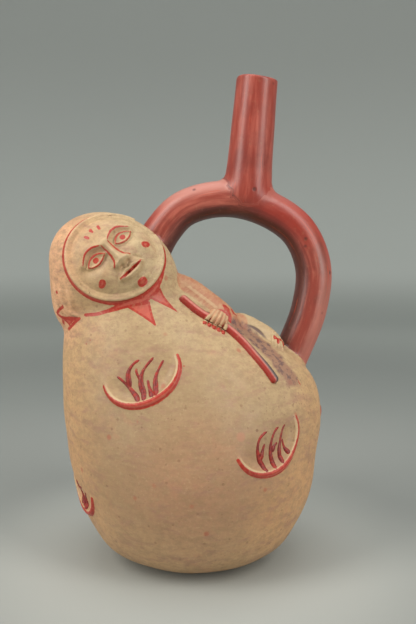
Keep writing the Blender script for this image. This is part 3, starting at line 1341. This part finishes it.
# The sprouts. From each eye a few shoots grow up out of the scoop: thin coils pressed on, thick at
# the foot, bent over at the tip, and brushed dark red.
SPROUTS_LEFT = (
    ((-0.27, -0.72), (-0.40, -0.28), (-0.54, 0.02), (-0.64, 0.14)),
    ((-0.38, -0.30), (-0.28, 0.03), (-0.06, 0.19), (0.18, 0.22)),
    ((-0.15, -0.74), (-0.07, -0.35), (-0.07, 0.02), (0.04, 0.11)),
    ((-0.13, -0.64), (-0.08, -0.30), (0.05, -0.08), (0.28, 0.07), (0.55, 0.20)),
    ((0.07, -0.76), (0.07, -0.47), (0.11, -0.26)),
    ((0.17, -0.76), (0.29, -0.34), (0.54, -0.08), (0.74, 0.07)),
)
SPROUTS_RIGHT = (
    ((-0.46, -0.68), (-0.48, -0.3), (-0.42, -0.07), (-0.28, 0.11), (-0.09, 0.17), (0.12, 0.15)),
    ((-0.46, -0.36), (-0.3, -0.18), (-0.16, -0.03)),
    ((-0.2, -0.74), (-0.08, -0.28), (0.15, -0.01), (0.33, 0.07), (0.5, 0.06)),
    ((-0.04, -0.34), (0.1, -0.26), (0.21, -0.25)),
    ((0.07, -0.76), (0.18, -0.44), (0.31, -0.28), (0.42, -0.14), (0.55, -0.02), (0.72, 0.03)),
    ((0.38, -0.70), (0.38, -0.36), (0.41, -0.24)),
)
SPROUT_STATIONS = 14
SPROUT_SUNK = 0.6
FOOT_SUNK, FOOT_SHARE = 0.9, 0.22
TIP_SUNK, TIP_SHARE = 0.8, 0.14
SPROUT_FOOT, SPROUT_TIP = 1.75, 0.95
SPROUT_STEP, SPROUT_UNEVEN = 0.6, 0.2
SPROUT_SIDES = 10
SPROUT_SEED = 7
SPROUT_DARK, SPROUT_RED, SPROUT_WORN = srgb(120, 34, 30), srgb(164, 44, 30), srgb(190, 120, 88)
LOW_ON_EYE = -0.6


def bent(sprouts, lean_by, stretch):
    """The same shoots on another eye, leaning and stretched a little"""
    low = LOW_ON_EYE
    return [
        [(x * stretch + lean_by * (y - low), low + (y - low) * stretch) for x, y in line]
        for line in sprouts
    ]


sprout_sets = [
    SPROUTS_LEFT, SPROUTS_RIGHT, bent(SPROUTS_LEFT, -0.25, 0.92), bent(SPROUTS_RIGHT, 0.1, 0.95),
    bent(SPROUTS_LEFT, 0.15, 0.95), bent(SPROUTS_RIGHT, -0.2, 1.0), bent(SPROUTS_LEFT, 0.0, 1.0),
]


def sprout_lines():
    """One open spline for each shoot, sunk a little in the skin"""
    lines = bpy.data.curves.new("sprout_lines", "CURVE")
    lines.dimensions = "3D"
    share = np.linspace(0, 1, SPROUT_STATIONS)
    buried = SPROUT_SUNK + FOOT_SUNK * np.clip(1 - share / FOOT_SHARE, 0, 1)
    buried += TIP_SUNK * np.clip(1 - (1 - share) / TIP_SHARE, 0, 1)
    for (place, _), sprouts in zip(eyes, sprout_sets):
        for sprout in sprouts:
            line = pressed(place(curve(sprout, SPROUT_STATIONS)), on_skin, -buried)
            spline = lines.splines.new("POLY")
            spline.points.add(len(line) - 1)
            for point, where in zip(spline.points, line / 1000):
                point.co = (*where, 1.0)
    return shown("sprout_lines", lines)


def sprout_slip():
    material, b, shader, place = new_finish("sprout_slip")
    worn = b.effect(brushed_edge, Place=place, Distance=-1.0, Raggedness=0.3, Wear=0.5)
    specks = b.effect(specks_and_pits, Place=place, Scale=800.0, Share=0.12)
    colour = b.mix(b.range(worn["Streaks"], 0.4, 0.7), SPROUT_DARK, SPROUT_RED)
    b.feed(shader["Base Color"], b.mix(b.maths("SUBTRACT", 1.0, worn["Cover"]), colour, SPROUT_WORN))
    b.feed(shader["Roughness"], b.range(worn["Streaks"], 0.3, 0.7, 0.42, 0.58))
    bump = b.node("Bump", Height=specks["Height"], Strength=0.4, Distance=0.0002)
    b.feed(shader["Normal"], bump.outputs["Normal"])
    return material


def rolled_sprouts():
    """The tree that rolls a tapering coil along each line"""
    b, given, result = new_group(
        "roll_sprouts",
        [("Lines", "Geometry", None), ("Foot radius", "Float", SPROUT_FOOT / 1000),
         ("Tip radius", "Float", SPROUT_TIP / 1000), ("Step", "Float", SPROUT_STEP / 1000),
         ("Unevenness", "Float", SPROUT_UNEVEN / 1000), ("Sides", "Int", SPROUT_SIDES),
         ("Seed", "Int", SPROUT_SEED)],
        [("Sprouts", "Geometry")],
        "Geometry",
    )
    steps = {"Curve": given["Lines"], "Length": given["Step"]}
    even = b.node("GeometryNodeResampleCurve", {"mode": "LENGTH"}, **steps)
    along = b.node("GeometryNodeSplineParameter").outputs["Factor"]
    radii = {"To_Min": given["Foot radius"], "To_Max": given["Tip radius"]}
    taper = b.node("MapRange", {"interpolation_type": "SMOOTHERSTEP"}, Value=along, From_Max=0.75, **radii)
    wobble = b.node("TexNoise", {"noise_dimensions": "4D"}, W=given["Seed"], Scale=260.0).outputs["Fac"]
    radius = b.plus(b.swing(wobble, given["Unevenness"]), taper.outputs["Result"])
    ring = b.node("GeometryNodeCurvePrimitiveCircle", Radius=1.0, Resolution=given["Sides"])
    ends = {"Curve": even.outputs["Curve"], "Profile_Curve": ring.outputs["Curve"]}
    roll = b.node("GeometryNodeCurveToMesh", Scale=radius, Fill_Caps=True, **ends)
    real = b.node("GeometryNodeRealizeInstances", Geometry=roll.outputs["Mesh"])
    finish = b.node("GeometryNodeSetMaterial", Geometry=real.outputs["Geometry"], Material=sprout_slip())
    b.feed(result["Sprouts"], finish.outputs["Geometry"])
    return b.tree


lines = sprout_lines()
rolling = lines.modifiers.new("rolled", "NODES")
rolling.node_group = rolled_sprouts()
for socket in rolling.node_group.interface.items_tree:
    if socket.in_out == "INPUT" and socket.name == "Seed":
        rolling[socket.identifier] = SPROUT_SEED
ready = lines.evaluated_get(bpy.context.evaluated_depsgraph_get())
sprout_mesh = bpy.data.meshes.new_from_object(ready)
sprouts = shown("sprouts", sprout_mesh)
bpy.data.objects.remove(lines)
sprout_mesh.shade_smooth()
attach(sprouts, "root")


# The studio. The vessel stands in the middle of a round pale backdrop, a floor that curves up into a
# wall all round it, between two tall soft lights with a weaker one above.
FLOOR_REACH = 1.3
WALL_CURVE = 0.9
WALL_TOP = 1.8
CURVE_STEPS = 20
ROUND_STEPS = 96

# The paper's colour over the floor, from the vessel's foot outwards, and then up the wall: the two
# distances between which it sets in, and the colour
FOOT_PAPER = srgb(166, 170, 166)
FLOOR_PAPER = (
    (0.08, 0.16, srgb(140, 144, 141)), (0.2, 0.5, srgb(133, 138, 135)), (0.6, 1.15, srgb(160, 165, 161)),
)
WALL_PAPER = ((0.0, 0.12, srgb(192, 197, 193)), (0.15, 0.95, srgb(180, 184, 181)))
PAPER_ROUGHNESS = 0.85

profile = [(FLOOR_REACH * share, 0.0) for share in (0.25, 0.5, 0.75, 1.0)]
for i in range(1, CURVE_STEPS + 1):
    turn = math.pi / 2 * i / CURVE_STEPS
    profile.append((FLOOR_REACH + WALL_CURVE * math.sin(turn), WALL_CURVE * (1 - math.cos(turn))))
profile.append((FLOOR_REACH + WALL_CURVE, WALL_TOP))
corners = [(0.0, 0.0, 0.0)]
for reach, height in profile:
    for i in range(ROUND_STEPS):
        turn = 2 * math.pi * i / ROUND_STEPS
        corners.append((reach * math.cos(turn), reach * math.sin(turn), height))
strips = [(0, 1 + i, 1 + (i + 1) % ROUND_STEPS) for i in range(ROUND_STEPS)]
for row in range(len(profile) - 1):
    for i in range(ROUND_STEPS):
        a, b = 1 + row * ROUND_STEPS + i, 1 + row * ROUND_STEPS + (i + 1) % ROUND_STEPS
        strips.append((a, a + ROUND_STEPS, b + ROUND_STEPS, b))
paper = bpy.data.meshes.new("round_backdrop")
paper.from_pydata(corners, [], strips)
paper.shade_smooth()
backdrop = shown("round_backdrop", paper)
paper_finish, b, paper_shader, on_paper = new_finish("pale_paper")
height = b.node("SeparateXYZ", Vector=on_paper).outputs["Z"]
level_place = b.node("Mapping", Vector=on_paper, Scale=(1.0, 1.0, 0.0)).outputs[0]
reach = b.node("VectorMath", {"operation": "LENGTH"}, i0=level_place).outputs["Value"]
paper_colour = b.layered(
    FOOT_PAPER,
    *[(b.range(reach, start, full), colour) for start, full, colour in FLOOR_PAPER],
    *[(b.range(height, start, full), colour) for start, full, colour in WALL_PAPER],
)
b.feed(paper_shader["Base Color"], paper_colour)
b.feed(paper_shader["Roughness"], PAPER_ROUGHNESS)
paper.materials.append(paper_finish)

# Each light's name, place, size, power and tint
LIGHTS = (
    ("left_softbox", (-0.80, -0.47, 0.64), (0.42, 1.25), 10.5, (1.0, 0.94, 0.88)),
    ("right_softbox", (0.76, -0.60, 0.62), (0.38, 1.25), 9.0, (1.0, 0.94, 0.88)),
    ("top_light", (0.0, 0.0, 1.3), (0.9, 0.9), 3.5, (1.0, 0.98, 0.95)),
)
AIM = (0.0, 0.0, 0.12)
ROOM_TINT, ROOM_LIGHT = (0.93, 0.96, 0.95, 1.0), 0.6
for name, where, size, power, tint in LIGHTS:
    lamp = bpy.data.lights.new(name, "AREA")
    lamp.shape = "RECTANGLE"
    lamp.size, lamp.size_y = size
    lamp.energy = power
    lamp.color = tint
    light = shown(name, lamp)
    light.location = where
    aim = [AIM[i] - where[i] for i in range(3)]
    yaw = math.atan2(aim[1], aim[0])
    pitch = math.atan2(aim[2], math.hypot(aim[0], aim[1]))
    light.rotation_euler = (math.pi / 2 + pitch, 0.0, yaw - math.pi / 2)

room = bpy.data.worlds.new("room")
room.use_nodes = True
air = room.node_tree.nodes["Background"].inputs
air["Color"].default_value = ROOM_TINT
air["Strength"].default_value = ROOM_LIGHT
bpy.context.scene.world = room
bpy.context.scene.view_settings.view_transform = "Standard"
